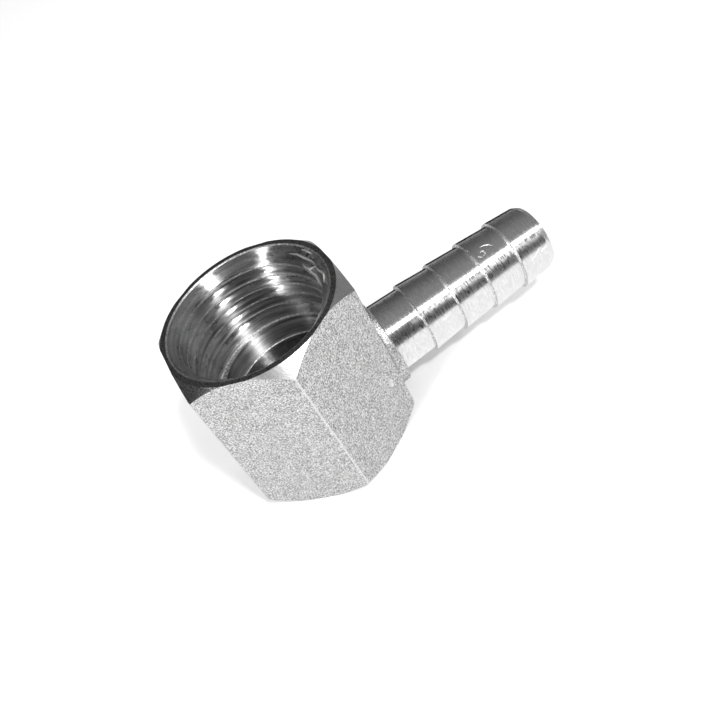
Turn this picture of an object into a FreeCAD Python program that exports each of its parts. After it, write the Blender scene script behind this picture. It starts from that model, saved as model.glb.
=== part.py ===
import FreeCAD, Part
import math
import os
import Sketcher
from FreeCAD import Vector

# Ninety-degree hose elbow, forged and machined from one piece of brass. A female threaded
# hexagon stands on its closed end, mouth up along +Z, and a barbed hose tail leaves it along +X.
# The origin is the centre of the closed end. All lengths are millimetres, all angles degrees.

SIZES = {
    # threaded socket: the thread's inner diameter, and the flat-bottomed hole's depth
    "thread_inner_diameter": 18.63,
    "socket_depth": 15.4,
    # the metal between the thread and a flat, which makes the hexagon 24 across its flats
    "flat_wall": 2.685,
    "body_height": 26.8,
    "corner_round": 0.4,
    # the end face that the countersink leaves at the mouth, measured at a flat
    "rim_width": 0.7,
    # the flat opposite the tail keeps the slope that the forging die gave it
    "back_flat_inset": 0.2,
    "back_flat_lean": 2.3,
    # the turned chamfers on the corners at both ends, which start just outside the flats
    "mouth_ring_excess": 0.1,
    "mouth_chamfer_angle": 46.5,
    "base_ring_excess": 0.15,
    "base_chamfer_angle": 43.7,
    # the drilled way below the socket, which ends just under the tail's bore
    "passage_diameter": 10.0,
    "passage_sump": 0.4,
    "drill_point_angle": 140.0,
    # collar left by the forging at the root of the tail
    "tail_axis_height": 8.5,
    "collar_diameter": 13.2,
    "collar_length": 1.5,
    "collar_root_round": 0.7,
    "collar_edge_round": 0.25,
    # hose tail
    "neck_diameter": 10.5,
    "neck_length": 5.4,
    "barb_foot_diameter": 10.1,
    "barb_height": 0.4,
    "barb_pitch": 5.3,
    "barb_land": 0.4,
    "barb_count": 4.0,
    "tail_bore_diameter": 7.0,
    # the lead-in turned at the tip: how far it drops, and over what length
    "tip_lead_drop": 0.35,
    "tip_lead_length": 0.75,
    "tail_bore_chamfer": 0.4,
}

# Where the sizes put the main faces and radii.
THREAD_WALL = "Sizes.thread_inner_diameter / 2"
FLAT = f"({THREAD_WALL} + Sizes.flat_wall)"
TOP = "Sizes.body_height"
TAIL_AXIS = "Sizes.tail_axis_height"
COLLAR_END = f"({FLAT} + Sizes.collar_length)"
FIRST_SHOULDER = f"({COLLAR_END} + Sizes.neck_length)"
TIP = f"({FIRST_SHOULDER} + Sizes.barb_pitch * Sizes.barb_count)"
BARB_FOOT = "Sizes.barb_foot_diameter / 2"
TAIL_BORE = "Sizes.tail_bore_diameter / 2"

# How far a cutting profile runs past the metal it removes.
CUT_MARGIN = 2.0

# A new outline's corners start on this circle, clear of both axes, until constraints place them.
START_RADIUS = 10.0
START_CENTRE = 20.0

# Two lengths closer than this are the same, and an edge with more than this share of the
# body's height runs from end to end.
SAME = 1e-3
END_TO_END = 0.7

doc = FreeCAD.newDocument("HoseElbow")
sheet = doc.addObject("Spreadsheet::Sheet", "Sizes")
for row, (alias, value) in enumerate(SIZES.items(), start=1):
    sheet.set(f"A{row}", alias)
    sheet.set(f"B{row}", str(value))
    sheet.setAlias(f"B{row}", alias)
doc.recompute()


def origin_feature(body, role):
    """The body's own origin plane or axis with this role."""
    return next(feature for feature in body.Origin.OriginFeatures if feature.Role == role)


def new_sketch(body, name, role, height=None):
    """An empty sketch on an origin plane, lifted along its own vertical if a height is given."""
    sketch = body.newObject("Sketcher::SketchObject", name)
    sketch.AttachmentSupport = [(origin_feature(body, role), "")]
    sketch.MapMode = "FlatFace"
    if height:
        sketch.setExpression("AttachmentOffset.Base.y", height)
    return sketch


def start_corners(count):
    """Where an outline's corners lie before its constraints are solved."""
    corners = []
    for index in range(count):
        angle = 2 * math.pi * index / count
        across = START_CENTRE + START_RADIUS * math.cos(angle)
        up = START_CENTRE + START_RADIUS * math.sin(angle)
        corners.append(Vector(across, up, 0))
    return corners


def closed_profile(body, name, role, corners, height=None):
    """A closed outline whose corners are pairs of formulas; None puts a corner on that axis."""
    sketch = new_sketch(body, name, role, height)
    count = len(corners)
    start = start_corners(count)
    for index in range(count):
        sketch.addGeometry(Part.LineSegment(start[index], start[(index + 1) % count]))
    for index in range(count):
        sketch.addConstraint(Sketcher.Constraint("Coincident", index, 2, (index + 1) % count, 1))
    for index, (across, up) in enumerate(corners):
        place_corner(sketch, index, "DistanceX", across, -2, start[index].x)
        place_corner(sketch, index, "DistanceY", up, -1, start[index].y)
    doc.recompute()
    return sketch


def place_corner(sketch, index, kind, formula, axis, start):
    """Ties one coordinate of a line's first point to a formula, or puts the point on the axis."""
    if formula is None:
        sketch.addConstraint(Sketcher.Constraint("PointOnObject", index, 1, axis))
        return
    number = sketch.addConstraint(Sketcher.Constraint(kind, -1, 1, index, 1, start))
    sketch.setExpression(f"Constraints[{number}]", formula)


def set_tip(body, feature):
    """Makes a feature the body's newest and builds it."""
    body.Tip = feature
    doc.recompute()


def turned(body, kind, name, sketch, axis):
    """A full Revolution or Groove of a sketch about one of its own axes."""
    feature = body.newObject(f"PartDesign::{kind}", name)
    feature.Profile = sketch
    feature.ReferenceAxis = (sketch, [axis])
    feature.Angle = 360
    set_tip(body, feature)
    return feature


def dressed(body, kind, name, size_property, formula, edges):
    """A Fillet or Chamfer on the named edges of the body."""
    base = body.Tip
    feature = body.newObject(f"PartDesign::{kind}", name)
    feature.Base = (base, edges)
    feature.setExpression(size_property, formula)
    set_tip(body, feature)


def round_edge(body, diameter, pick):
    """The round edge of a diameter about the tail that comes first (min) or last (max) along X."""
    rings = []
    for number, edge in enumerate(body.Tip.Shape.Edges, start=1):
        curve = edge.Curve
        if not isinstance(curve, Part.Circle) or abs(2 * curve.Radius - diameter) > SAME:
            continue
        if abs(curve.Axis.x) > 1 - SAME:
            rings.append((curve.Center.x, f"Edge{number}"))
    return [pick(rings)[1]]


def build_hexagon(body):
    """The hexagonal bar, its back flat leaning outwards to the base, its long edges eased."""
    slope = "tan(Sizes.back_flat_lean)"
    back_at_mouth = f"({FLAT} - Sizes.back_flat_inset)"
    back = f"-({back_at_mouth} + {TOP} * {slope} + {CUT_MARGIN})"
    back_half = f"(2 * {FLAT} + {back}) / sqrt(3)"
    outline = [
        (FLAT, f"-{FLAT} / sqrt(3)"),
        (FLAT, f"{FLAT} / sqrt(3)"),
        (None, f"2 * {FLAT} / sqrt(3)"),
        (back, back_half),
        (back, f"-({back_half})"),
        (None, f"-2 * {FLAT} / sqrt(3)"),
    ]
    bar = body.newObject("PartDesign::Pad", "HexagonBar")
    bar.Profile = closed_profile(body, "HexagonOutline", "XY_Plane", outline)
    bar.setExpression("Length", TOP)
    set_tip(body, bar)

    wedge = [
        (f"-({back_at_mouth} - {CUT_MARGIN} * {slope})", f"{TOP} + {CUT_MARGIN}"),
        (f"-({back_at_mouth} + ({TOP} + {CUT_MARGIN}) * {slope})", f"-{CUT_MARGIN}"),
        (f"-2 * {FLAT}", f"-{CUT_MARGIN}"),
        (f"-2 * {FLAT}", f"{TOP} + {CUT_MARGIN}"),
    ]
    cut = body.newObject("PartDesign::Pocket", "BackFlat")
    cut.Profile = closed_profile(body, "BackFlatSlope", "XZ_Plane", wedge)
    cut.SideType = "Symmetric"
    cut.setExpression("Length", f"4 * {FLAT}")
    set_tip(body, cut)

    edges = enumerate(body.Tip.Shape.Edges, start=1)
    least = END_TO_END * sheet.body_height
    long_edges = [f"Edge{number}" for number, edge in edges if edge.BoundBox.ZLength > least]
    dressed(body, "Fillet", "EasedEdges", "Radius", "Sizes.corner_round", long_edges)


def build_end_chamfers(body):
    """The chamfers turned on the hexagon's corners at the mouth and at the base."""
    outer = f"(2 * {FLAT} / sqrt(3) + {CUT_MARGIN})"

    ring = f"({FLAT} + Sizes.mouth_ring_excess)"
    mouth = [
        (ring, TOP),
        (outer, TOP),
        (outer, f"{TOP} - ({outer} - {ring}) * tan(Sizes.mouth_chamfer_angle)"),
    ]
    sketch = closed_profile(body, "MouthChamferOutline", "XZ_Plane", mouth)
    turned(body, "Groove", "MouthChamfer", sketch, "V_Axis")

    ring = f"({FLAT} + Sizes.base_ring_excess)"
    base = [
        (ring, None),
        (outer, None),
        (outer, f"({outer} - {ring}) * tan(Sizes.base_chamfer_angle)"),
    ]
    sketch = closed_profile(body, "BaseChamferOutline", "XZ_Plane", base)
    turned(body, "Groove", "BaseChamfer", sketch, "V_Axis")


def build_collar(body):
    """The round collar at the tail's root, blended into the front flat."""
    sketch = new_sketch(body, "CollarOutline", "YZ_Plane")
    start = Vector(0, START_CENTRE, 0)
    sketch.addGeometry(Part.Circle(start, Vector(0, 0, 1), START_RADIUS))
    sketch.addConstraint(Sketcher.Constraint("PointOnObject", 0, 3, -2))
    number = sketch.addConstraint(Sketcher.Constraint("DistanceY", -1, 1, 0, 3, START_CENTRE))
    sketch.setExpression(f"Constraints[{number}]", TAIL_AXIS)
    number = sketch.addConstraint(Sketcher.Constraint("Diameter", 0, 2 * START_RADIUS))
    sketch.setExpression(f"Constraints[{number}]", "Sizes.collar_diameter")
    collar = body.newObject("PartDesign::Pad", "Collar")
    collar.Profile = sketch
    collar.setExpression("Length", COLLAR_END)
    set_tip(body, collar)

    root = round_edge(body, sheet.collar_diameter, min)
    dressed(body, "Fillet", "CollarBlend", "Radius", "Sizes.collar_root_round", root)
    edge = round_edge(body, sheet.collar_diameter, max)
    dressed(body, "Fillet", "CollarEdge", "Radius", "Sizes.collar_edge_round", edge)


def build_tail(body):
    """The turned neck, then one barb repeated along the tail, then the tip's lead-in."""
    neck = [
        (f"{FLAT} / 2", None),
        (f"{FLAT} / 2", "Sizes.neck_diameter / 2"),
        (COLLAR_END, "Sizes.neck_diameter / 2"),
        (FIRST_SHOULDER, BARB_FOOT),
        (FIRST_SHOULDER, None),
    ]
    sketch = closed_profile(body, "NeckOutline", "XZ_Plane", neck, TAIL_AXIS)
    turned(body, "Revolution", "Neck", sketch, "H_Axis")

    barb = [
        (FIRST_SHOULDER, None),
        (FIRST_SHOULDER, f"{BARB_FOOT} + Sizes.barb_height"),
        (f"{FIRST_SHOULDER} + Sizes.barb_land", f"{BARB_FOOT} + Sizes.barb_height"),
        (f"{FIRST_SHOULDER} + Sizes.barb_pitch", BARB_FOOT),
        (f"{FIRST_SHOULDER} + Sizes.barb_pitch", None),
    ]
    sketch = closed_profile(body, "BarbOutline", "XZ_Plane", barb, TAIL_AXIS)
    first = turned(body, "Revolution", "FirstBarb", sketch, "H_Axis")
    barbs = body.newObject("PartDesign::LinearPattern", "BarbRow")
    barbs.Originals = [first]
    barbs.Direction = (origin_feature(body, "X_Axis"), [""])
    barbs.setExpression("Occurrences", "Sizes.barb_count")
    barbs.setExpression("Length", "Sizes.barb_pitch * (Sizes.barb_count - 1)")
    set_tip(body, barbs)

    tip_edge = round_edge(body, sheet.barb_foot_diameter, max)
    dressed(body, "Chamfer", "TipLead", "Size", "Sizes.tip_lead_length", tip_edge)
    body.Tip.ChamferType = "Two distances"
    body.Tip.setExpression("Size2", "Sizes.tip_lead_drop")
    doc.recompute()


def build_bores(body):
    """The countersunk socket with the narrower way below it, and the tail's bore."""
    mouth = f"({FLAT} - Sizes.rim_width)"
    way = "Sizes.passage_diameter / 2"
    floor = f"{TOP} - Sizes.socket_depth"
    bottom = f"({TAIL_AXIS} - {TAIL_BORE} - Sizes.passage_sump)"
    socket = [
        (None, TOP),
        (mouth, TOP),
        (THREAD_WALL, f"{TOP} - ({mouth} - {THREAD_WALL})"),
        (THREAD_WALL, floor),
        (way, floor),
        (way, bottom),
        (None, f"{bottom} - {way} / tan(Sizes.drill_point_angle / 2)"),
    ]
    sketch = closed_profile(body, "SocketOutline", "XZ_Plane", socket)
    turned(body, "Groove", "Socket", sketch, "V_Axis")

    bore = [
        (None, None),
        (None, TAIL_BORE),
        (f"{TIP} - Sizes.tail_bore_chamfer", TAIL_BORE),
        (TIP, f"{TAIL_BORE} + Sizes.tail_bore_chamfer"),
        (TIP, None),
    ]
    sketch = closed_profile(body, "TailBoreOutline", "XZ_Plane", bore, TAIL_AXIS)
    turned(body, "Groove", "TailBore", sketch, "H_Axis")


def build_elbow():
    """The whole fitting as one body."""
    body = doc.addObject("PartDesign::Body", "ElbowBody")
    body.Label = "elbow_body"
    body.Placement = FreeCAD.Placement()
    build_hexagon(body)
    build_end_chamfers(body)
    build_collar(body)
    build_tail(body)
    build_bores(body)
    return body


def check_and_export(sub_parts):
    """Stops on any failed object or bad shape, then writes each sub-part to its STEP file."""
    doc.recompute()
    failed = [thing.Name for thing in doc.Objects if {"Invalid", "Error"} & set(thing.State)]
    if failed:
        raise RuntimeError("these objects failed: " + ", ".join(failed))
    for part in sub_parts:
        if part.Shape.isNull() or not part.Shape.isValid() or len(part.Shape.Solids) != 1:
            raise RuntimeError(f"{part.Label} is not one valid solid")
    os.makedirs("parts", exist_ok=True)
    for part in sub_parts:
        part.Shape.exportStep(f"parts/{part.Label}.step")
        solid = part.Shape.Solids[0]
        centre = solid.CenterOfMass
        print(f"{part.Label}: volume {solid.Volume:.1f} mm3, {len(solid.Faces)} faces")
        print(f"  centre of mass {centre.x:.2f}, {centre.y:.2f}, {centre.z:.2f}")


check_and_export([build_elbow()])
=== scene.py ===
"""Dressed model of the nickel-plated hose elbow: its real thread, its grain and its turning marks.

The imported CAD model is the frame. Every mesh is built in millimetres in the frame's own axes,
with the closed end's centre at the origin, the socket opening along +Z and the tail along +X,
and is brought to metres when it is finished.
"""

import logging
import math
from dataclasses import dataclass
from enum import Enum
from typing import Callable
import bmesh
import bpy
from mathutils import Euler, Matrix, Vector


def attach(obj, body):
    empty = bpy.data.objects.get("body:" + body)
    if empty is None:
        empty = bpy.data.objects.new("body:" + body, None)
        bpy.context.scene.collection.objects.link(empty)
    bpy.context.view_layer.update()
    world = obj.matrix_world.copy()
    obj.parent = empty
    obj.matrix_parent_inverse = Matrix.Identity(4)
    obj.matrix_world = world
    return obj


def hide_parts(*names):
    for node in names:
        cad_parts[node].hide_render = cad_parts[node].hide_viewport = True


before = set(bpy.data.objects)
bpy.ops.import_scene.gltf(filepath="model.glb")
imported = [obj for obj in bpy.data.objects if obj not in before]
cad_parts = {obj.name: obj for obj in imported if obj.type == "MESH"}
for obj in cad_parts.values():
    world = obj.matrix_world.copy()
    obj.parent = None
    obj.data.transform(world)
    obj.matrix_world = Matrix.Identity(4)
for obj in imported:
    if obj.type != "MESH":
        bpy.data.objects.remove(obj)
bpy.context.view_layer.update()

log = logging.getLogger("elbow")

MM = 0.001
UP = Vector((0, 0, 1))
ALONG = Vector((1, 0, 0))
NODE = "elbow_body"
BODY = "root"
CLOSE = 1e-4
HEIGHT = 26.8
HALF_FLATS = 12.0
ROUND_STEPS = 4

Source = bpy.types.NodeSocket | float | tuple[float, ...]
Trail = tuple[tuple[float, float], ...]


class Surface(Enum):
    """The finishes of the elbow, each with its place in the mesh's material list."""

    BLASTED = 0
    CHAMFER = 1
    RIM = 2
    COUNTERSINK = 3
    THREAD = 4
    CREST = 5
    WALL = 6
    FLOOR = 7
    TAIL = 8
    SHOULDER = 9
    BORE = 10
    BASE = 11
    EDGE = 12
    BURR = 13


class Joining(Enum):
    """What a second solid does to the first."""

    ADD = "UNION"
    CUT = "DIFFERENCE"
    KEEP = "INTERSECT"


@dataclass(frozen=True)
class Corner:
    """One corner of a turned profile: its place along the axis, its radius and its rounding."""

    along: float
    radius: float
    ease: float = 0.0


def new_object(bm: bmesh.types.BMesh, name: str) -> bpy.types.Object:
    """Puts a bmesh into a new linked object and frees it.

    Args:
        bm: the finished bmesh.
        name: the object's name.

    Returns:
        The new object.
    """
    mesh = bpy.data.meshes.new(name)
    bm.to_mesh(mesh)
    bm.free()
    thing = bpy.data.objects.new(name, mesh)
    bpy.context.scene.collection.objects.link(thing)
    return thing


@dataclass
class Bench:
    """Where solids are made and joined, all with the same list of finishes."""

    finishes: list[bpy.types.Material]

    def solid(self, bm: bmesh.types.BMesh, name: str) -> bpy.types.Object:
        """Puts a bmesh into a new object that knows every finish.

        Args:
            bm: the finished bmesh.
            name: the object's name.

        Returns:
            The new object.
        """
        thing = new_object(bm, name)
        for finish in self.finishes:
            thing.data.materials.append(finish)
        return thing

    def join(self, solid: bpy.types.Object, tool: bpy.types.Object, joining: Joining) -> None:
        """Adds a second solid to the first, cuts with it or keeps what both hold.

        Args:
            solid: the object that is changed.
            tool: the object that is used up.
            joining: what the tool does.
        """
        modifier = solid.modifiers.new("joining", "BOOLEAN")
        modifier.object = tool
        modifier.operation = joining.value
        modifier.solver = "EXACT"
        depsgraph = bpy.context.evaluated_depsgraph_get()
        made = bpy.data.meshes.new_from_object(solid.evaluated_get(depsgraph))
        solid.modifiers.clear()
        solid.data = made
        bpy.data.objects.remove(tool, do_unlink=True)

    def lay_on(self, solid: bpy.types.Object, tool: bpy.types.Object) -> None:
        """Lets small shells stick in a solid's surface, as part of its mesh.

        Args:
            solid: the object that is changed.
            tool: the object that is used up.
        """
        bm = bmesh.new()
        bm.from_mesh(solid.data)
        bm.from_mesh(tool.data)
        bm.to_mesh(solid.data)
        bm.free()
        bpy.data.objects.remove(tool, do_unlink=True)


def paint(bm: bmesh.types.BMesh, pick: Callable[[Vector], Surface]) -> None:
    """Gives every face the finish that belongs to the place of its middle.

    Args:
        bm: the bmesh.
        pick: tells the finish for a place.
    """
    for face in bm.faces:
        face.material_index = pick(face.calc_center_median()).value


def turned(corners: list[Corner], axis: Vector, centre: Vector, steps: int) -> bmesh.types.BMesh:
    """A solid turned on a lathe.

    Args:
        corners: the profile, from one point on the axis to another.
        axis: the direction of the lathe's axis.
        centre: a point on the axis, from which the profile's lengths count.
        steps: how many faces one turn has.

    Returns:
        The closed bmesh, its normals outwards.
    """
    bm = bmesh.new()
    across = UP if axis is ALONG else ALONG
    verts = [bm.verts.new(centre + axis * spot.along + across * spot.radius) for spot in corners]
    for first, second in zip(verts, verts[1:]):
        bm.edges.new((first, second))
    for vert, spot in zip(verts, corners):
        if spot.ease > 0:
            bmesh.ops.bevel(
                bm,
                geom=[vert],
                offset=spot.ease,
                offset_type="OFFSET",
                affect="VERTICES",
                segments=ROUND_STEPS,
                profile=0.5,
                material=-1,
            )
    bmesh.ops.spin(
        bm,
        geom=bm.verts[:] + bm.edges[:],
        cent=centre,
        axis=axis,
        dvec=(0, 0, 0),
        angle=math.tau,
        steps=steps,
        use_merge=True,
        use_duplicate=False,
    )
    bmesh.ops.remove_doubles(bm, verts=bm.verts, dist=CLOSE)
    bmesh.ops.recalc_face_normals(bm, faces=bm.faces)
    return bm


@dataclass
class HexagonBody:
    """The hexagon: forged flats, one of them leaning, with a chamfer turned at both ends."""

    flat: float = HALF_FLATS
    height: float = HEIGHT
    spare: float = 1.0
    corner_setback: float = 0.231
    corner_steps: int = 5
    corner_turn: float = 12.0
    back_spare: float = 1.5
    back_inset: float = 0.2
    back_lean: float = math.radians(2.3)
    mouth_ring: float = 12.1
    mouth_angle: float = math.radians(46.5)
    base_ring: float = 12.15
    base_angle: float = math.radians(43.7)
    reach: float = 15.0
    steps: int = 240

    def build(self, bench: Bench) -> bpy.types.Object:
        """The hexagonal bar kept where the turned blank has metal.

        Args:
            bench: where it is made.

        Returns:
            The hexagon's object.
        """
        bar = bench.solid(self.bar(), "hexagon_bar")
        bench.join(bar, bench.solid(self.blank(), "turned_blank"), Joining.KEEP)
        return bar

    def bar(self) -> bmesh.types.BMesh:
        """The bar with its leaning back flat and its eased long edges.

        Returns:
            The bar's bmesh.
        """
        bm = self.prism()
        self.lean_back(bm)
        self.ease_corners(bm)
        for face in bm.faces:
            turn = math.degrees(math.atan2(face.normal.y, face.normal.x)) % 60
            eased = min(turn, 60 - turn) > self.corner_turn
            face.material_index = (Surface.EDGE if eased else Surface.BLASTED).value
        return bm

    def prism(self) -> bmesh.types.BMesh:
        """A hexagonal prism with spare metal at both ends and at its back.

        Returns:
            The prism's bmesh.
        """
        bm = bmesh.new()
        corner = 2 * self.flat / math.sqrt(3)
        bmesh.ops.create_circle(bm, cap_ends=True, segments=6, radius=corner)
        back = [vert for vert in bm.verts if vert.co.x < -self.flat / 2]
        for vert in back:
            vert.co.x -= self.back_spare
            vert.co.y -= math.copysign(self.back_spare / math.sqrt(3), vert.co.y)
        bmesh.ops.translate(bm, verts=bm.verts, vec=(0, 0, -self.spare))
        lifted = bmesh.ops.extrude_face_region(bm, geom=bm.faces[:])["geom"]
        top = [item for item in lifted if isinstance(item, bmesh.types.BMVert)]
        bmesh.ops.translate(bm, verts=top, vec=(0, 0, self.height + 2 * self.spare))
        return bm

    def lean_back(self, bm: bmesh.types.BMesh) -> None:
        """Cuts the back flat, which leans out towards the closed end.

        Args:
            bm: the prism's bmesh.
        """
        cut = bmesh.ops.bisect_plane(
            bm,
            geom=bm.verts[:] + bm.edges[:] + bm.faces[:],
            plane_co=(self.back_inset - self.flat, 0, self.height),
            plane_no=(-math.cos(self.back_lean), 0, math.sin(self.back_lean)),
            clear_outer=True,
        )
        open_edges = [item for item in cut["geom_cut"] if isinstance(item, bmesh.types.BMEdge)]
        bmesh.ops.holes_fill(bm, edges=open_edges, sides=0)
        bmesh.ops.recalc_face_normals(bm, faces=bm.faces)

    def ease_corners(self, bm: bmesh.types.BMesh) -> None:
        """Rounds the long edges.

        Args:
            bm: the prism's bmesh.
        """
        upright = [
            edge
            for edge in bm.edges
            if abs(edge.verts[0].co.z - edge.verts[1].co.z) > self.height / 2
        ]
        bmesh.ops.bevel(
            bm,
            geom=upright,
            offset=self.corner_setback,
            offset_type="OFFSET",
            affect="EDGES",
            segments=self.corner_steps,
            profile=0.5,
            material=-1,
        )

    def blank(self) -> bmesh.types.BMesh:
        """What the lathe leaves: a chamfer at both ends and the two end faces.

        Returns:
            The blank's bmesh.
        """
        base_rise = (self.reach - self.base_ring) * math.tan(self.base_angle)
        mouth_drop = (self.reach - self.mouth_ring) * math.tan(self.mouth_angle)
        corners = [
            Corner(0, 0),
            Corner(0, self.base_ring),
            Corner(base_rise, self.reach),
            Corner(self.height - mouth_drop, self.reach),
            Corner(self.height, self.mouth_ring),
            Corner(self.height, 0),
        ]
        bm = turned(corners, UP, Vector(), self.steps)
        paint(bm, self.finish)
        return bm

    def finish(self, place: Vector) -> Surface:
        """The finish of the blank at a place.

        Args:
            place: the middle of a face.

        Returns:
            Its finish.
        """
        if place.z < CLOSE:
            return Surface.BASE
        # The chamfer's upper facets on the -X side take the rim finish, whose dark colour is
        # painted shade.
        rim_shaded = place.z > self.height / 2 and place.x < -self.flat / 2
        return Surface.RIM if rim_shaded or place.z > self.height - CLOSE else Surface.CHAMFER


@dataclass
class HoseTail:
    """The collar with its forged blend, the tapered neck and the four barbs."""

    axis_height: float = 8.5
    flat: float = HALF_FLATS
    inner_end: float = 9.0
    collar: float = 6.6
    collar_end: float = 13.5
    root_round: float = 0.7
    root_steps: int = 7
    edge_round: float = 0.25
    neck: float = 5.25
    neck_round: float = 0.12
    foot: float = 5.05
    barb: float = 5.45
    barb_round: float = 0.06
    land: float = 0.4
    land_round: float = 0.15
    first_shoulder: float = 18.9
    pitch: float = 5.3
    barbs: int = 4
    lead_length: float = 0.75
    lead_drop: float = 0.35
    lead_round: float = 0.12
    nose_round: float = 0.22
    shoulder_band: float = 0.06
    sink: float = 0.015
    drape_soft: float = 0.12
    steps: int = 180

    @property
    def tip(self) -> float:
        """Where the tail ends along X."""
        return self.first_shoulder + self.pitch * self.barbs

    @property
    def slope(self) -> float:
        """How fast a barb narrows behind its land."""
        return (self.barb - self.foot) / (self.pitch - self.land)

    def build(self, bench: Bench) -> bpy.types.Object:
        """The tail from inside the hexagon to its tip, turned in one piece.

        Args:
            bench: where it is made.

        Returns:
            The tail's object.
        """
        corners = self.root() + self.barbs_and_tip()
        bm = turned(corners, ALONG, Vector((0, 0, self.axis_height)), self.steps)
        paint(bm, self.finish)
        self.drape(bm)
        return bench.solid(bm, "hose_tail")

    def root(self) -> list[Corner]:
        """The profile from inside the hexagon to the neck.

        Returns:
            Its corners.
        """
        root = self.collar + self.root_round
        corners = [
            Corner(self.inner_end, 0),
            Corner(self.inner_end, root),
            Corner(self.flat - self.sink, root),
        ]
        for index in range(1, self.root_steps + 1):
            turn = math.pi / 2 * index / self.root_steps
            along = self.flat + self.root_round * (1 - math.cos(turn))
            corners.append(Corner(along, root - self.root_round * math.sin(turn)))
        corners.append(Corner(self.collar_end, self.collar, self.edge_round))
        corners.append(Corner(self.collar_end, self.neck, self.neck_round))
        return corners

    def barbs_and_tip(self) -> list[Corner]:
        """The profile from the first shoulder to the tip.

        Returns:
            Its corners.
        """
        corners = [Corner(self.first_shoulder, self.foot, self.nose_round)]
        for index in range(self.barbs):
            start = self.first_shoulder + self.pitch * index
            corners.append(Corner(start, self.barb, self.barb_round))
            corners.append(Corner(start + self.land, self.barb, self.land_round))
            if index < self.barbs - 1:
                corners.append(Corner(start + self.pitch, self.foot, self.nose_round))
        lead = self.foot + self.slope * self.lead_length
        corners.append(Corner(self.tip - self.lead_length, lead, self.lead_round))
        corners.append(Corner(self.tip, self.foot - self.lead_drop))
        corners.append(Corner(self.tip, 0))
        return corners

    def drape(self, bm: bmesh.types.BMesh) -> None:
        """Lets the collar's blend fall back over the hexagon's corners where it runs over them.

        Args:
            bm: the tail's bmesh.
        """
        corner = self.flat / math.sqrt(3)
        for vert in bm.verts:
            beyond = abs(vert.co.y) - corner
            if vert.co.x < self.flat + self.root_round and beyond > -4 * self.drape_soft:
                eased = (beyond + math.hypot(beyond, self.drape_soft)) / 2
                vert.co.x -= eased * math.sqrt(3)

    def finish(self, place: Vector) -> Surface:
        """The finish of the tail at a place.

        Args:
            place: the middle of a face.

        Returns:
            Its finish.
        """
        if place.x < self.collar_end - CLOSE:
            return Surface.BLASTED
        before = (self.first_shoulder - place.x) % self.pitch
        near = before < self.nose_round or before > self.pitch - self.shoulder_band
        return Surface.SHOULDER if near and place.x < self.tip - self.pitch / 2 else Surface.TAIL


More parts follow.
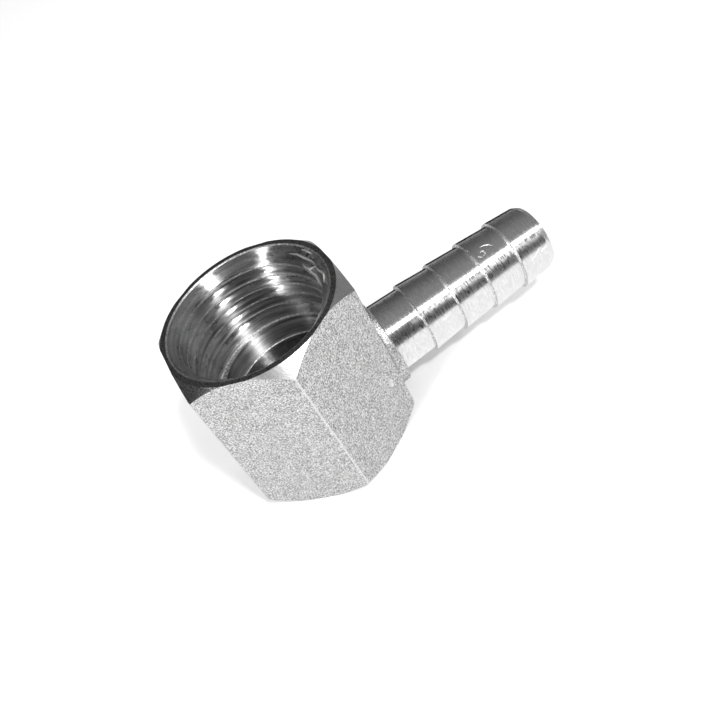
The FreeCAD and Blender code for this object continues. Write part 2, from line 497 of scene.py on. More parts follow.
@dataclass
class Socket:
    """The countersunk socket with its thread, and the ways drilled below it."""

    tail: HoseTail
    height: float = HEIGHT
    wall: float = 9.315
    mouth: float = 11.3
    floor: float = 11.4
    way: float = 5.0
    way_end: float = 4.6
    point_end: float = 2.78
    rim_ease: float = 0.14
    corner_ease: float = 0.14
    thread_wall: float = 9.83
    thread_shift: float = -0.375
    thread_floor: float = 14.95
    thread_ledge: float = 0.1
    thread_root: float = 10.25
    thread_end: float = 14.79
    thread_start_turn: float = math.radians(100)
    thread_run_in: float = 0.5
    thread_over: float = 1.5
    pitch: float = 1.814
    flank: float = math.radians(27.5)
    root_round: float = 0.249
    root_steps: int = 4
    crest_ease: float = 0.06
    flare_depth: float = 1.6
    lip: float = 0.1
    lip_sides: int = 6
    lip_height: float = 0.22
    lip_sink: float = 0.04
    lip_run_in: float = 0.05
    tail_bore: float = 3.5
    tail_bore_chamfer: float = 0.4
    over: float = 1.0
    steps: int = 240
    bore_steps: int = 96
    turn_steps: int = 96

    @property
    def countersink_foot(self) -> float:
        """The height where the countersink meets the wall."""
        return self.height - self.mouth + self.wall

    @property
    def groove_apex(self) -> float:
        """How far from the axis the groove's two flanks would meet."""
        return self.thread_root + self.pitch / (12 * math.tan(self.flank))

    @property
    def groove_half(self) -> float:
        """Half the groove's width at the wall."""
        return (self.groove_apex - self.thread_wall) * math.tan(self.flank)

    def cut_into(self, solid: bpy.types.Object, bench: Bench) -> None:
        """Drills, countersinks and threads the elbow.

        Args:
            solid: the elbow's object.
            bench: where it is made.
        """
        bench.join(solid, bench.solid(self.hole(), "socket_hole"), Joining.CUT)
        bench.join(solid, bench.solid(self.bore(), "tail_bore"), Joining.CUT)
        bench.join(solid, bench.solid(self.thread_bore(), "thread_bore"), Joining.CUT)
        bench.join(solid, bench.solid(self.raised_lip(), "raised_lip"), Joining.ADD)
        bench.join(solid, bench.solid(self.thread(), "thread_cutter"), Joining.CUT)

    def hole(self) -> bmesh.types.BMesh:
        """The socket, its countersink and the drilled way, as one cutter.

        Returns:
            The cutter's bmesh.
        """
        corners = [
            Corner(self.height + self.over, 0),
            Corner(self.height + self.over, self.mouth + self.over),
            Corner(self.height + self.rim_ease / 3, self.mouth + self.rim_ease),
            Corner(self.height - self.rim_ease, self.mouth - self.rim_ease),
            Corner(self.countersink_foot, self.wall),
            Corner(self.floor, self.wall, self.corner_ease),
            Corner(self.floor, self.way),
            Corner(self.way_end, self.way),
            Corner(self.point_end, 0),
        ]
        bm = turned(corners, UP, Vector(), self.steps)
        paint(bm, self.finish)
        return bm

    def finish(self, place: Vector) -> Surface:
        """The finish of the socket at a place.

        Args:
            place: the middle of a face.

        Returns:
            Its finish.
        """
        if place.z > self.height - self.rim_ease:
            return Surface.CREST
        if place.z > self.countersink_foot:
            return Surface.COUNTERSINK
        if place.z > self.floor + self.corner_ease:
            return Surface.WALL
        if place.z > self.floor + CLOSE:
            return Surface.CREST
        return Surface.FLOOR if place.z > self.floor - CLOSE else Surface.BORE

    def bore(self) -> bmesh.types.BMesh:
        """The tail's bore with its small chamfer at the tip.

        Returns:
            The cutter's bmesh.
        """
        tip = self.tail.tip
        flare = self.tail_bore + self.tail_bore_chamfer + self.over
        corners = [
            Corner(0.0, 0),
            Corner(0.0, self.tail_bore),
            Corner(tip - self.tail_bore_chamfer, self.tail_bore),
            Corner(tip + self.over, flare),
            Corner(tip + self.over, 0),
        ]
        bm = turned(corners, ALONG, Vector((0, 0, self.tail.axis_height)), self.bore_steps)
        paint(bm, lambda place: Surface.BORE)
        return bm

    def thread_bore(self) -> bmesh.types.BMesh:
        """The wider stretch that holds the thread, drilled a little off the socket's axis.

        Returns:
            The cutter's bmesh.
        """
        corners = [
            Corner(self.height + self.over, 0),
            Corner(self.height + self.over, self.thread_wall),
            Corner(self.thread_floor, self.thread_wall, self.thread_ledge),
            Corner(self.thread_floor, 0),
        ]
        bm = turned(corners, UP, Vector((self.thread_shift, 0, 0)), self.steps)
        ledge = self.thread_floor + self.thread_ledge
        paint(bm, lambda place: Surface.WALL if place.z > ledge else Surface.CREST)
        return bm

    def wind(
        self, bm: bmesh.types.BMesh, outline: bmesh.types.BMFace, depth: float, top: float
    ) -> None:
        """Winds an outline upwards along the thread, from nothing to its full depth.

        Args:
            bm: the bmesh that holds it.
            outline: the outline's face, in the plane of the X axis.
            depth: how far the outline is drawn in at the start.
            top: the height where it ends.
        """
        step = math.tau / self.turn_steps
        rise = Vector((0, 0, self.pitch / self.turn_steps))
        start = self.thread_end + self.pitch * self.thread_start_turn / math.tau
        turn = Matrix.Rotation(self.thread_start_turn, 3, "Z")
        bmesh.ops.translate(bm, verts=bm.verts, vec=(0, 0, start))
        bmesh.ops.rotate(bm, verts=bm.verts, cent=(0, 0, 0), matrix=turn)
        count = round(self.turn_steps * self.thread_run_in)
        self.shift_ring(list(outline.verts), -depth)
        ring = [outline]
        for _ in range(count):
            ring = bmesh.ops.spin(
                bm, geom=ring, cent=(0, 0, 0), axis=UP, dvec=rise, angle=step, steps=1
            )["geom_last"]
            verts = [item for item in ring if isinstance(item, bmesh.types.BMVert)]
            self.shift_ring(verts, depth / count)
        rest = round((top - start) / self.pitch * self.turn_steps) - count
        bmesh.ops.spin(
            bm, geom=ring, cent=(0, 0, 0), axis=UP, dvec=rise, angle=step * rest, steps=rest
        )
        bmesh.ops.recalc_face_normals(bm, faces=bm.faces)
        bmesh.ops.translate(bm, verts=bm.verts, vec=(self.thread_shift, 0, 0))

    def thread(self) -> bmesh.types.BMesh:
        """The thread's groove as a cutter, wound upwards from its run-out to above the mouth.

        Returns:
            The cutter's bmesh.
        """
        bm = bmesh.new()
        outline = self.groove_outline(bm)
        depth = self.thread_root - self.thread_wall
        self.wind(bm, outline, depth, self.height + self.thread_over)
        paint(bm, lambda place: Surface.THREAD)
        return bm

    def raised_lip(self) -> bmesh.types.BMesh:
        """The thin lip that the tool raised along the thread's upper edge.

        Returns:
            The lip's bmesh.
        """
        bm = bmesh.new()
        above = self.groove_half + self.lip_height
        middle = Vector((self.thread_wall + self.lip_sink, 0, above))
        ring = bmesh.ops.create_circle(
            bm,
            cap_ends=True,
            segments=self.lip_sides,
            radius=self.lip,
            matrix=Matrix.LocRotScale(middle, Euler((math.pi / 2, 0, 0)), None),
        )
        outline = ring["verts"][0].link_faces[0]
        top = self.height - self.mouth + self.thread_wall - self.groove_half
        self.wind(bm, outline, -self.lip_run_in, top)
        paint(bm, lambda place: Surface.CREST)
        return bm

    def shift_ring(self, verts: list[bmesh.types.BMVert], outwards: float) -> None:
        """Moves one outline of the groove away from the socket's axis.

        Args:
            verts: the outline's vertices.
            outwards: how far, in millimetres.
        """
        for vert in verts:
            flat = Vector((vert.co.x, vert.co.y, 0))
            vert.co += flat.normalized() * outwards

    def groove_outline(self, bm: bmesh.types.BMesh) -> bmesh.types.BMFace:
        """The groove's outline, in the plane that holds the X axis.

        Args:
            bm: the bmesh that takes it.

        Returns:
            The outline's face.
        """
        half = self.groove_half
        centre = self.groove_apex - self.root_round / math.sin(self.flank)
        ease = self.crest_ease
        flare = [
            (self.thread_wall - self.flare_depth, half + ease),
            (self.thread_wall, half + ease),
            (self.thread_wall + ease, half - ease * math.tan(self.flank)),
        ]
        spots = [(across, -up) for across, up in flare]
        sweep = math.pi / 2 - self.flank
        for index in range(self.root_steps + 1):
            turn = sweep * (2 * index / self.root_steps - 1)
            across = centre + self.root_round * math.cos(turn)
            spots.append((across, self.root_round * math.sin(turn)))
        spots += reversed(flare)
        return bm.faces.new([bm.verts.new((across, 0, up)) for across, up in spots])


@dataclass(frozen=True)
class Sliver:
    """A thin curl of metal left by the tool or by a knock: pointed at both ends."""

    path: tuple[Vector, ...]
    thickness: float
    end_share: float = 0.2
    sides: int = 5

    def add_to(self, bm: bmesh.types.BMesh) -> None:
        """Builds the sliver from rings along its path.

        Args:
            bm: the bmesh that takes it.
        """
        last = len(self.path) - 1
        before = None
        for index, spot in enumerate(self.path):
            way = self.path[min(index + 1, last)] - self.path[max(index - 1, 0)]
            swell = self.end_share + (1 - self.end_share) * math.sin(math.pi * index / last)
            ring = bmesh.ops.create_circle(
                bm,
                cap_ends=index in (0, last),
                segments=self.sides,
                radius=self.thickness / 2 * swell,
                matrix=Matrix.LocRotScale(spot, way.to_track_quat("Z", "Y"), None),
            )["verts"]
            edges = list(dict.fromkeys(edge for vert in ring for edge in vert.link_edges))
            if before:
                bmesh.ops.bridge_loops(bm, edges=before + edges)
            before = edges


@dataclass
class Wear:
    """The burrs at the thread's start, the scratches on the tail and the knocks on the body.

    Places in the socket are angles from +X and depths below the mouth, places on the tail are
    lengths along X and angles about its axis, and places on the right flat are lengths along it
    and heights.
    """

    socket: Socket
    thread_burrs: tuple[Trail, ...] = (
        ((33, 0.9), (26, 0.85), (20, 0.95), (10, 0.9), (4, 0.95)),
        ((18, 1.6), (14, 1.75), (10, 1.7), (6, 1.4), (3, 1.1)),
        ((10, 1.7), (4, 1.8), (-3, 1.7), (-10, 1.75), (-17, 1.6)),
        ((3, 1.1), (-3, 1.1), (-8, 0.9), (-12, 0.8), (-18, 1.1)),
        ((22, 0.35), (19, 0.25), (15, 0.3), (11, 0.3)),
        ((147, 11.8), (143, 11.85), (139, 11.85)),
        ((43, 9.85), (39.5, 9.9), (36.5, 9.85)),
        ((43, 10.95), (42, 11.0), (40.5, 10.95)),
        ((44, 11.8), (40, 11.85), (36.5, 11.8)),
    )
    rim_nicks: tuple[Trail, ...] = (
        ((209.5, 11.5), (209.5, 12.0)),
        ((218.4, 11.4), (218.4, 11.9)),
        ((232.2, 11.4), (232.2, 11.8)),
    )
    scratches: tuple[Trail, ...] = (
        ((31.2, 102.5), (31.8, 103.5), (32.3, 106), (32.8, 111.5)),
        ((30.7, 110.5), (31.2, 110.2), (31.3, 116), (30.6, 119)),
        ((30.5, 119), (30.3, 116.5), (30.1, 114)),
        ((29.6, 84), (29.6, 97), (29.45, 112), (29.2, 124)),
        ((21.1, 163.5), (21.6, 162.5), (22.3, 163.5)),
        ((36.1, 167), (37.2, 162), (38.1, 156.5)),
        ((38.6, 165.5), (39.0, 171), (38.8, 178)),
        ((37.6, 168), (38.3, 163), (39.1, 161)),
    )
    burr_width: float = 0.3
    burr_stand: float = 0.03
    mark_width: float = 0.12
    nick_sink: float = 0.07
    dent_turn: float = math.radians(-60)
    dent_along: float = 4.8
    dent_height: float = 9.0
    dent_depth: float = 0.1
    dent_radius: float = 1.0
    dent_stretch: float = 2.2

    def mark(self, solid: bpy.types.Object, bench: Bench) -> None:
        """Adds the burrs and cuts the dent.

        Args:
            solid: the elbow's object.
            bench: where it is made.
        """
        bm = bmesh.new()
        for burr in self.thread_burrs:
            Sliver(tuple(self.in_socket(*spot) for spot in burr), self.burr_width).add_to(bm)
        for nick in self.rim_nicks:
            Sliver(tuple(self.on_rim(*spot) for spot in nick), self.mark_width).add_to(bm)
        for scratch in self.scratches:
            Sliver(tuple(self.on_tail(*spot) for spot in scratch), self.mark_width).add_to(bm)
        bmesh.ops.recalc_face_normals(bm, faces=bm.faces)
        paint(bm, lambda place: Surface.BURR)
        bench.join(solid, bench.solid(self.dent(), "dent"), Joining.CUT)
        bench.lay_on(solid, bench.solid(bm, "slivers"))

    def in_socket(self, turn: float, depth: float) -> Vector:
        """A place just inside the socket's wall.

        Args:
            turn: the angle from +X, in degrees.
            depth: how far it is below the mouth.

        Returns:
            The place.
        """
        socket = self.socket
        angle = math.radians(turn)
        wall = socket.thread_wall + socket.thread_shift * math.cos(angle)
        across = max(socket.mouth - depth, wall) - self.burr_stand
        return Vector((across * math.cos(angle), across * math.sin(angle), socket.height - depth))

    def on_rim(self, turn: float, across: float) -> Vector:
        """A place just under the rim's face.

        Args:
            turn: the angle from +X, in degrees.
            across: how far it is from the socket's axis.

        Returns:
            The place.
        """
        angle = math.radians(turn)
        height = self.socket.height - self.nick_sink
        return Vector((across * math.cos(angle), across * math.sin(angle), height))

    def on_tail(self, along: float, turn: float) -> Vector:
        """A place on the tail's surface.

        Args:
            along: its place along X.
            turn: the angle about the tail's axis from +Y, in degrees.

        Returns:
            The place.
        """
        tail = self.socket.tail
        beyond = (along - tail.first_shoulder) % tail.pitch
        across = tail.barb - tail.slope * max(beyond - tail.land, 0)
        angle = math.radians(turn)
        height = tail.axis_height + across * math.sin(angle)
        return Vector((along, across * math.cos(angle), height))

    def dent(self) -> bmesh.types.BMesh:
        """A long shallow knock on the right flat, as an upright egg that cuts it.

        Returns:
            The cutter's bmesh.
        """
        outwards = Vector((math.cos(self.dent_turn), math.sin(self.dent_turn), 0))
        along = Vector((-outwards.y, outwards.x, 0))
        away = self.socket.tail.flat + self.dent_radius - self.dent_depth
        centre = outwards * away + along * self.dent_along + UP * self.dent_height
        bm = bmesh.new()
        bmesh.ops.create_icosphere(
            bm,
            subdivisions=3,
            radius=self.dent_radius,
            matrix=Matrix.LocRotScale(centre, None, Vector((1.0, 1.0, self.dent_stretch))),
        )
        paint(bm, lambda place: Surface.EDGE)
        return bm


class NodeSheet:
    """A material's or a group's nodes, with short ways to place and wire them."""

    def __init__(self, tree: bpy.types.NodeTree) -> None:
        """Starts on an existing tree."""
        self.tree = tree

    def add(self, kind: str, **settings: object) -> bpy.types.Node:
        """Places a node.

        Args:
            kind: the node's type.
            settings: the node's own properties.

        Returns:
            The node.
        """
        node = self.tree.nodes.new(kind)
        for name, value in settings.items():
            setattr(node, name, value)
        return node

    def feed(self, socket: bpy.types.NodeSocket, source: Source) -> None:
        """Wires a socket to another one, or sets its value.

        Args:
            socket: the input.
            source: an output socket, a number or a tuple.
        """
        if isinstance(source, bpy.types.NodeSocket):
            self.tree.links.new(source, socket)
        else:
            socket.default_value = source

    def math(self, operation: str, *terms: Source) -> bpy.types.NodeSocket:
        """A Math node.

        Args:
            operation: what it does.
            terms: its inputs.

        Returns:
            Its output.
        """
        node = self.add("ShaderNodeMath", operation=operation)
        for socket, term in zip(node.inputs, terms):
            self.feed(socket, term)
        return node.outputs[0]

    def vector_math(
        self, operation: str, *terms: Source, scale: Source | None = None
    ) -> bpy.types.NodeSocket:
        """A Vector Math node.

        Args:
            operation: what it does.
            terms: its vector inputs.
            scale: its scale, where it has one.

        Returns:
            Its vector output.
        """
        node = self.add("ShaderNodeVectorMath", operation=operation)
        for socket, term in zip(node.inputs, terms):
            self.feed(socket, term)
        if scale is not None:
            self.feed(node.inputs["Scale"], scale)
        return node.outputs[0]

    def spread(
        self, value: Source, low: float, high: float, bottom: float, top: float
    ) -> bpy.types.NodeSocket:
        """Moves a value from one range into another, held at its ends.

        Args:
            value: the value.
            low: where the first range starts.
            high: where it ends.
            bottom: the answer at low.
            top: the answer at high.

        Returns:
            The moved value.
        """
        node = self.add("ShaderNodeMapRange", clamp=True)
        for socket, term in zip(node.inputs, (value, low, high, bottom, top)):
            self.feed(socket, term)
        return node.outputs[0]

    def noise(
        self, place: Source, scale: Source, detail: float, roughness: float
    ) -> bpy.types.NodeSocket:
        """A noise's value.

        Args:
            place: the coordinates it reads.
            scale: its scale.
            detail: how many finer layers it has.
            roughness: how strong they are.

        Returns:
            The value, about 0.5 in the middle.
        """
        node = self.add("ShaderNodeTexNoise")
        self.feed(node.inputs["Vector"], place)
        self.feed(node.inputs["Scale"], scale)
        self.feed(node.inputs["Detail"], detail)
        self.feed(node.inputs["Roughness"], roughness)
        return node.outputs["Fac"]

    def blend(self, share: Source, first: Source, second: Source) -> bpy.types.NodeSocket:
        """Mixes two colours.

        Args:
            share: how much of the second shows.
            first: a colour or a socket.
            second: a colour or a socket.

        Returns:
            The mixed colour.
        """
        node = self.add("ShaderNodeMix", data_type="RGBA")
        self.feed(node.inputs["Factor"], share)
        self.feed(node.inputs[6], first)
        self.feed(node.inputs[7], second)
        return node.outputs[2]


def new_group(
    name: str, inputs: dict[str, float | tuple[float, ...]], outputs: dict[str, str]
) -> tuple[NodeSheet, bpy.types.NodeOutputs, bpy.types.NodeInputs]:
    """An empty shader node group.

    Args:
        name: its name.
        inputs: each input's name and its start value.
        outputs: each output's name and its socket type.

    Returns:
        Its sheet, its inputs as sockets to read and its outputs as sockets to feed.
    """
    tree = bpy.data.node_groups.new(name, "ShaderNodeTree")
    for label, value in inputs.items():
        kind = "NodeSocketVector" if isinstance(value, tuple) else "NodeSocketFloat"
        socket = tree.interface.new_socket(label, in_out="INPUT", socket_type=kind)
        socket.default_value = value
    for label, kind in outputs.items():
        tree.interface.new_socket(label, in_out="OUTPUT", socket_type=kind)
    sheet = NodeSheet(tree)
    entry = sheet.add("NodeGroupInput")
    end = sheet.add("NodeGroupOutput")
    return sheet, entry.outputs, end.inputs


@dataclass(frozen=True)
class TurningMarks:
    """What the tool leaves on a turned face: rings round the axis, and short streaks along them.

    A share of 0 would stretch a mark the whole way round, and 1 would leave it a round spot.
    """

    ring_share: float = 0.02
    streak_share: float = 0.2
    streak_height: float = 0.6
    detail: float = 2.0
    fine_roughness: float = 0.7
    broad_roughness: float = 0.6
    ring_range: tuple[float, float] = (0.38, 0.62)
    streak_range: tuple[float, float] = (0.35, 0.65)

    def build(self) -> bpy.types.NodeTree:
        """The group, which reads millimetres and the axis, and gives a height and two masks.

        Returns:
            The node group.
        """
        sheet, given, out = new_group(
            "turning_marks",
            {"Place": (0.0, 0.0, 0.0), "Axis": (0.0, 0.0, 1.0), "Fine": 4.0, "Broad": 1.2},
            {"Height": "NodeSocketFloat", "Rings": "NodeSocketFloat", "Streaks": "NodeSocketFloat"},
        )
        across = sheet.vector_math("SUBTRACT", (1.0, 1.0, 1.0), given["Axis"])
        places = []
        for share in (self.ring_share, self.streak_share):
            thin = sheet.vector_math("SCALE", across, scale=share)
            ratio = sheet.vector_math("ADD", given["Axis"], thin)
            places.append(sheet.vector_math("MULTIPLY", given["Place"], ratio))
        fine = sheet.noise(places[0], given["Fine"], self.detail, self.fine_roughness)
        broad = sheet.noise(places[0], given["Broad"], self.detail, self.broad_roughness)
        streaks = sheet.noise(places[1], given["Fine"], self.detail, self.fine_roughness)
        rings = sheet.math("MULTIPLY", sheet.math("ADD", fine, broad), 0.5)
        raised = sheet.math("MULTIPLY", streaks, self.streak_height)
        sheet.feed(out["Height"], sheet.math("ADD", fine, raised))
        sheet.feed(out["Rings"], sheet.spread(rings, *self.ring_range, 0.0, 1.0))
        sheet.feed(out["Streaks"], sheet.spread(streaks, *self.streak_range, 0.0, 1.0))
        return sheet.tree


@dataclass(frozen=True)
class Speckle:
    """Small bright and dark spots, such as blasting leaves, in faint wide patches."""

    pit_roughness: float = 0.6
    patch_scale: float = 0.15
    patch_strength: float = 0.12
    spot_range: tuple[float, float] = (0.36, 0.64)

    def build(self) -> bpy.types.NodeTree:
        """The group, which reads millimetres and gives a height and a mask.

        Returns:
            The node group.
        """
        sheet, given, out = new_group(
            "speckle",
            {"Place": (0.0, 0.0, 0.0), "Grain": 4.0},
            {"Height": "NodeSocketFloat", "Spots": "NodeSocketFloat"},
        )
        place = sheet.vector_math("SCALE", given["Place"], scale=given["Grain"])
        pits = sheet.noise(place, 1.0, 1.0, self.pit_roughness)
        patches = sheet.noise(place, self.patch_scale, 1.0, 0.5)
        patches = sheet.math("MULTIPLY", sheet.math("SUBTRACT", patches, 0.5), self.patch_strength)
        spots = sheet.math("ADD", pits, patches)
        sheet.feed(out["Height"], pits)
        sheet.feed(out["Spots"], sheet.spread(spots, *self.spot_range, 0.0, 1.0))
        return sheet.tree


@dataclass(frozen=True)
class PaintedFarShade:
    """Painted shade: a turned finish's colour and edge tint darkened on its side away from the
    lamps, where it is seen at a flat angle.
    """

    shade: float = 0.97
    edge_tint: float = 0.1
    side_range: tuple[float, float] = (0.5, 2.5)
    facing_range: tuple[float, float] = (0.55, 0.75)

    def unshaded_share(self, sheet: NodeSheet, place: bpy.types.NodeSocket) -> bpy.types.NodeSocket:
        """The share of the brightness that the painted shade leaves.

        Args:
            sheet: the material's sheet.
            place: object coordinates in millimetres.

        Returns:
            The share, between 0 and 1.
        """
        parts = sheet.add("ShaderNodeSeparateXYZ")
        sheet.feed(parts.inputs[0], place)
        far = sheet.spread(parts.outputs["Y"], *self.side_range, 0.0, self.shade)
        facing = sheet.add("ShaderNodeLayerWeight").outputs["Facing"]
        flat = sheet.spread(facing, *self.facing_range, 0.0, 1.0)
        return sheet.math("SUBTRACT", 1.0, sheet.math("MULTIPLY", far, flat))


@dataclass(frozen=True)
class Turning:
    """How strongly a finish shows the marks of the lathe, and the painted shade on its far side
    where one is given.
    """

    axis: tuple[float, float, float]
    stretch: float = 1.0
    fine: float = 4.0
    depth: float = 0.004
    shade: float = 0.3
    streak_shade: float = 0.2
    dulling: float = 0.1
    painted_far_shade: PaintedFarShade | None = None


@dataclass(frozen=True)
class Blasting:
    """How strongly a finish shows grain: spots per millimetre, their depth and their shade."""

    grain: float = 4.0
    depth: float = 0.05
    shade: float = 0.4


@dataclass(frozen=True)
class Finish:
    """One finish of the nickel plate."""

    surface: Surface
    colour: float
    roughness: float
    edge_tint: float = 0.3
    turning: Turning | None = None
    blasting: Blasting | None = None

    def build(self, groups: dict[str, bpy.types.NodeTree]) -> bpy.types.Material:
        """The finish as a material.

        Args:
            groups: the shared node groups.

        Returns:
            The material.
        """
        material = bpy.data.materials.new(f"nickel_{self.surface.name.lower()}")
        material.use_nodes = True
        sheet = NodeSheet(material.node_tree)
        shader = material.node_tree.nodes["Principled BSDF"]
        shader.inputs["Metallic"].default_value = 1.0
        shader.inputs["Roughness"].default_value = self.roughness
        shader.inputs["Base Color"].default_value = (self.colour, self.colour, self.colour, 1)
        tint = self.edge_tint
        shader.inputs["Specular Tint"].default_value = (tint, tint, tint, 1)
        mapping = sheet.add("ShaderNodeMapping")
        mapping.inputs["Scale"].default_value = (1 / MM, 1 / MM, 1 / MM)
        sheet.feed(mapping.inputs["Vector"], sheet.add("ShaderNodeTexCoord").outputs["Object"])
        if self.turning:
            self.turn(sheet, shader, mapping.outputs[0], groups["turning_marks"])
        if self.blasting:
            self.blast(sheet, shader, mapping.outputs[0], groups["speckle"])
        return material

    def turn(
        self,
        sheet: NodeSheet,
        shader: bpy.types.Node,
        place: bpy.types.NodeSocket,
        group: bpy.types.NodeTree,
    ) -> None:
        """Adds the marks of the lathe.

        Args:
            sheet: the material's sheet.
            shader: its shader.
            place: object coordinates in millimetres.
            group: the turning marks' node group.
        """
        turning = self.turning
        marks = sheet.add("ShaderNodeGroup", node_tree=group)
        sheet.feed(marks.inputs["Place"], place)
        marks.inputs["Axis"].default_value = turning.axis
        marks.inputs["Fine"].default_value = turning.fine
        self.bump(sheet, shader, marks.outputs["Height"], turning.depth)
        shader.inputs["Anisotropic"].default_value = turning.stretch
        grain_way = sheet.add("ShaderNodeCombineXYZ")
        for socket, part in zip(grain_way.inputs, turning.axis):
            socket.default_value = part
        sheet.feed(shader.inputs["Tangent"], grain_way.outputs[0])
        smooth = self.roughness - turning.dulling
        dull = self.roughness + turning.dulling
        rough = sheet.spread(marks.outputs["Streaks"], 0, 1, smooth, dull)
        sheet.feed(shader.inputs["Roughness"], rough)
        rings = sheet.spread(marks.outputs["Rings"], 0, 1, 1 - turning.shade, 1)
        streaks = sheet.spread(marks.outputs["Streaks"], 0, 1, 1 - turning.streak_shade, 1)
        grey = sheet.math("MULTIPLY", sheet.math("MULTIPLY", rings, streaks), self.colour)
        # painted shade: the colour and edge tint darken on the far side where it is seen at a flat
        # angle
        if turning.painted_far_shade:
            unshaded_share = turning.painted_far_shade.unshaded_share(sheet, place)
            grey = sheet.math("MULTIPLY", grey, unshaded_share)
            tint = sheet.spread(unshaded_share, 0, 1, turning.painted_far_shade.edge_tint, self.edge_tint)
            sheet.feed(shader.inputs["Specular Tint"], tint)
        sheet.feed(shader.inputs["Base Color"], grey)

    def blast(
        self,
        sheet: NodeSheet,
        shader: bpy.types.Node,
        place: bpy.types.NodeSocket,
        group: bpy.types.NodeTree,
    ) -> None:
        """Adds the grain that blasting leaves.

        Args:
            sheet: the material's sheet.
            shader: its shader.
            place: object coordinates in millimetres.
            group: the speckle's node group.
        """
        speckle = sheet.add("ShaderNodeGroup", node_tree=group)
        sheet.feed(speckle.inputs["Place"], place)
        speckle.inputs["Grain"].default_value = self.blasting.grain
        self.bump(sheet, shader, speckle.outputs["Height"], self.blasting.depth)
        low = self.colour * (1 - self.blasting.shade)
        high = min(self.colour * (1 + self.blasting.shade), 1.0)
        grey = sheet.spread(speckle.outputs["Spots"], 0, 1, low, high)
        sheet.feed(shader.inputs["Base Color"], grey)

    def bump(
        self, sheet: NodeSheet, shader: bpy.types.Node, height: bpy.types.NodeSocket, depth: float
    ) -> None:
        """Lets a height stand out from the surface.

        Args:
            sheet: the material's sheet.
            shader: its shader.
            height: the height's socket.
            depth: how deep it is, in millimetres.
        """
        bump = sheet.add("ShaderNodeBump")
        bump.inputs["Strength"].default_value = 1.0
        bump.inputs["Distance"].default_value = depth * MM
        sheet.feed(bump.inputs["Height"], height)
        sheet.feed(shader.inputs["Normal"], bump.outputs["Normal"])


SOCKET_AXIS = (0.0, 0.0, 1.0)
TAIL_AXIS = (1.0, 0.0, 0.0)

COUNTERSINK_TURNING = Turning(SOCKET_AXIS, stretch=0.95, fine=2.2, depth=0.014, shade=0.55)
THREAD_TURNING = Turning(SOCKET_AXIS, fine=2.2, depth=0.018, shade=0.5)
WALL_TURNING = Turning(SOCKET_AXIS, fine=2.2, depth=0.018, shade=0.55)
BORE_TURNING = Turning(TAIL_AXIS, stretch=0.9)
# The tail's finish carries painted shade on its far side.
TAIL_TURNING = Turning(
    TAIL_AXIS,
    fine=5.0,
    depth=0.01,
    shade=0.05,
    streak_shade=0.02,
    dulling=0.12,
    painted_far_shade=PaintedFarShade(),
)

FINISHES = (
    Finish(Surface.BLASTED, 0.64, 0.5, blasting=Blasting(grain=5.5, depth=0.06, shade=0.5)),
    Finish(Surface.CHAMFER, 0.74, 0.34, blasting=Blasting(grain=4.0, depth=0.01, shade=0.1)),
    # The rim finish's dark colour is painted shade on the mouth's face and on the chamfer's upper
    # facets at the -X side.
    Finish(Surface.RIM, 0.29, 0.3, blasting=Blasting(grain=6.0, depth=0.03, shade=0.5)),
    Finish(Surface.COUNTERSINK, 1.0, 0.32, 1.0, turning=COUNTERSINK_TURNING),
    Finish(Surface.THREAD, 1.0, 0.34, 1.0, turning=THREAD_TURNING),
    Finish(Surface.CREST, 1.0, 0.42, blasting=Blasting(grain=3.0, depth=0.03, shade=0.5)),
    Finish(Surface.WALL, 1.0, 0.41, 1.0, turning=WALL_TURNING),
    # The socket floor's dark colour is painted shade at the bottom of the hole.
    Finish(Surface.FLOOR, 0.25, 0.25, blasting=Blasting(grain=2.0, depth=0.01, shade=0.2)),
    Finish(Surface.TAIL, 1.0, 0.34, 1.0, turning=TAIL_TURNING),
    Finish(Surface.SHOULDER, 0.8, 0.42, 0.5, blasting=Blasting(grain=5.0, depth=0.03, shade=0.4)),
    Finish(Surface.BORE, 0.6, 0.35, turning=BORE_TURNING),
    Finish(Surface.BASE, 0.7, 0.3, blasting=Blasting(grain=3.0, depth=0.03, shade=0.3)),
    Finish(Surface.EDGE, 0.88, 0.42, blasting=Blasting(grain=5.0, depth=0.02, shade=0.25)),
    Finish(Surface.BURR, 1.0, 0.5, 1.0, blasting=Blasting(grain=5.0, depth=0.02, shade=0.1)),
)


@dataclass
class Elbow:
    """The whole fitting, forged and machined from one piece."""

    hexagon: HexagonBody
    tail: HoseTail
    socket: Socket
    wear: Wear
    sharp_angle: float = math.radians(28)

    def build(self) -> bpy.types.Object:
        """Builds the fitting and puts it in the CAD node's place.

        Returns:
            The finished piece.
        """
        groups = {"turning_marks": TurningMarks().build(), "speckle": Speckle().build()}
        bench = Bench([finish.build(groups) for finish in FINISHES])
        solid = self.hexagon.build(bench)
        bench.join(solid, self.tail.build(bench), Joining.ADD)
        self.socket.cut_into(solid, bench)
        self.wear.mark(solid, bench)
        self.dress(solid)
        return solid

    def dress(self, solid: bpy.types.Object) -> None:
        """Args:
            solid: the elbow's object.
        """
        solid.name = "elbow_skin"
        solid.data.name = "elbow_skin"
        bm = bmesh.new()
        bm.from_mesh(solid.data)
        bmesh.ops.scale(bm, vec=(MM, MM, MM), verts=bm.verts)
        bm.to_mesh(solid.data)
        bm.free()
        solid.data.shade_smooth()
        solid.data.set_sharp_from_angle(angle=self.sharp_angle)
        weighting = solid.modifiers.new("even_normals", "WEIGHTED_NORMAL")
        weighting.keep_sharp = True
        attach(solid, BODY)
        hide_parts(NODE)


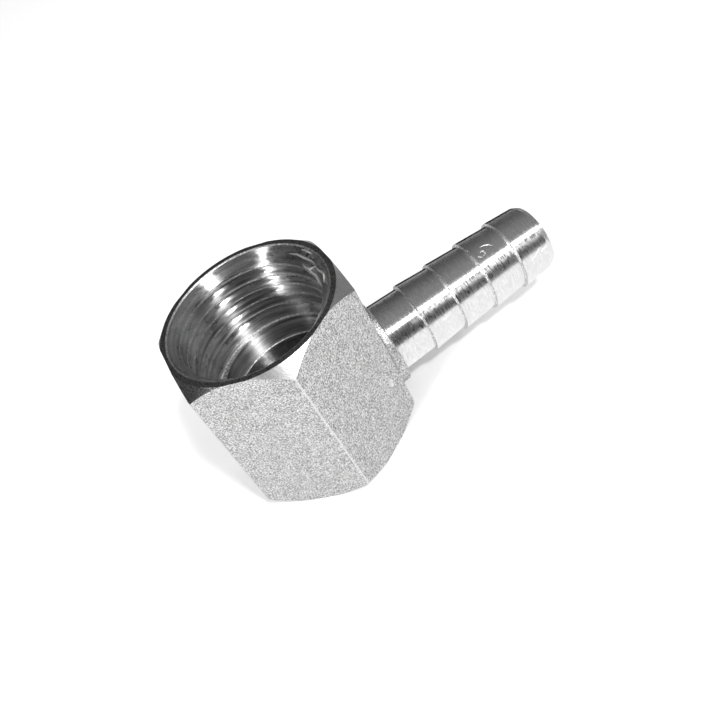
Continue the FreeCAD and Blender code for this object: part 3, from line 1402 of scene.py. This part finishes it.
@dataclass(frozen=True)
class Lamp:
    """A square soft lamp that looks at the elbow.

    Its azimuth counts in degrees from +X towards +Y, its elevation in degrees above the floor,
    its side and its distance in metres and its power in watts.
    """

    name: str
    azimuth: float
    elevation: float
    side: float
    power: float
    distance: float = 0.6
    target: tuple[float, float, float] = (8.0, -2.0, 14.0)

    def build(self) -> None:
        """Puts the lamp in its place."""
        data = bpy.data.lights.new(self.name, "AREA")
        data.energy = self.power
        data.size = self.side
        lamp = bpy.data.objects.new(self.name, data)
        turn = math.radians(self.azimuth)
        rise = math.radians(self.elevation)
        way = Vector(
            (math.cos(rise) * math.cos(turn), math.cos(rise) * math.sin(turn), math.sin(rise))
        )
        lamp.location = Vector(self.target) * MM + way * self.distance
        lamp.rotation_euler = way.to_track_quat("Z", "Y").to_euler()
        bpy.context.scene.collection.objects.link(lamp)


@dataclass(frozen=True)
class Room:
    """The room that the metal mirrors: grey walls that differ by side, under a paler ceiling."""

    walls: float = 0.075
    right: float = 0.1
    front: float = 0.13
    back: float = -0.05
    ceiling: float = 0.18
    least: float = 0.005

    def build(self) -> None:
        """Makes the room the scene's world: white light all round, and the walls in the metal."""
        world = bpy.data.worlds.new("room")
        world.use_nodes = True
        sheet = NodeSheet(world.node_tree)
        parts = sheet.add("ShaderNodeSeparateXYZ")
        sheet.feed(parts.inputs[0], sheet.add("ShaderNodeTexCoord").outputs["Generated"])
        east, north, high = parts.outputs
        low = sheet.math("SUBTRACT", 1.0, sheet.math("ABSOLUTE", high))
        behind = sheet.math("MAXIMUM", north, 0.0)
        sides = (
            sheet.math("MULTIPLY", east, self.right),
            sheet.math("MULTIPLY", sheet.math("MINIMUM", north, 0.0), self.front),
            sheet.math("MULTIPLY", behind, self.back),
        )
        wall = self.walls
        for side in sides:
            wall = sheet.math("ADD", wall, sheet.math("MULTIPLY", side, low))
        west = sheet.math("SUBTRACT", 1.0, sheet.math("MAXIMUM", east, 0.0))
        above = sheet.math("POWER", sheet.math("MAXIMUM", high, 0.0), 2.0)
        open_share = sheet.math("SUBTRACT", 1.0, sheet.math("MULTIPLY", behind, west))
        above = sheet.math("MULTIPLY", above, open_share)
        wall = sheet.math("ADD", wall, sheet.math("MULTIPLY", above, self.ceiling))
        wall = sheet.math("MAXIMUM", wall, self.least)
        mirrored = sheet.add("ShaderNodeLightPath").outputs["Is Glossy Ray"]
        colour = sheet.blend(mirrored, (1.0, 1.0, 1.0, 1.0), wall)
        sheet.feed(world.node_tree.nodes["Background"].inputs["Color"], colour)
        bpy.context.scene.world = world


@dataclass
class Studio:
    """The floor, the lamps, the room and the camera."""

    floor_half: float = 3.0
    paper: float = 0.78
    lamps: tuple[Lamp, ...] = (
        Lamp("key", -67.5, 54.0, 0.055, 2.1),
        Lamp("side", 209.0, 21.0, 0.06, 2.0),
    )
    room: Room = Room()
    lens: float = 36.585
    camera_place: tuple[float, float, float] = (0.62338, -73.71309, 81.62094)
    camera_turns: tuple[float, float, float] = (40.95624, 21.0369, -28.95621)

    def build(self) -> None:
        """Sets up the whole studio."""
        self.floor()
        for lamp in self.lamps:
            lamp.build()
        self.room.build()
        self.camera()

    def floor(self) -> None:
        """A wide white floor that keeps the shadow, and looks white in the metal as well."""
        bm = bmesh.new()
        bmesh.ops.create_grid(bm, x_segments=1, y_segments=1, size=self.floor_half)
        floor = new_object(bm, "studio_floor")
        material = bpy.data.materials.new("studio_floor")
        material.use_nodes = True
        sheet = NodeSheet(material.node_tree)
        material.node_tree.nodes.remove(material.node_tree.nodes["Principled BSDF"])
        end = material.node_tree.nodes["Material Output"]
        paper = sheet.add("ShaderNodeBsdfDiffuse")
        paper.inputs["Color"].default_value = (self.paper, self.paper, self.paper, 1)
        glow = sheet.add("ShaderNodeEmission")
        either = sheet.add("ShaderNodeMixShader")
        sheet.feed(either.inputs[0], sheet.add("ShaderNodeLightPath").outputs["Is Glossy Ray"])
        sheet.feed(either.inputs[1], paper.outputs[0])
        sheet.feed(either.inputs[2], glow.outputs[0])
        sheet.feed(end.inputs["Surface"], either.outputs[0])
        floor.data.materials.append(material)

    def camera(self) -> None:
        """The camera at the photograph's angle."""
        data = bpy.data.cameras.new("camera")
        data.lens = self.lens
        data.sensor_width = 36.0
        data.clip_start = 0.01
        view = bpy.data.objects.new("camera", data)
        view.location = Vector(self.camera_place) * MM
        view.rotation_euler = Euler([math.radians(turn) for turn in self.camera_turns])
        bpy.context.scene.collection.objects.link(view)
        bpy.context.scene.camera = view
        bpy.context.scene.view_settings.view_transform = "Standard"


def main() -> None:
    """Builds the elbow and its studio."""
    logging.basicConfig(level=logging.INFO, format="%(name)s: %(message)s")
    tail = HoseTail()
    socket = Socket(tail)
    elbow = Elbow(HexagonBody(), tail, socket, Wear(socket))
    piece = elbow.build()
    log.info("%s: %d faces", piece.name, len(piece.data.polygons))
    Studio().build()
    log.info("studio ready")


if __name__ == "__main__":
    main()
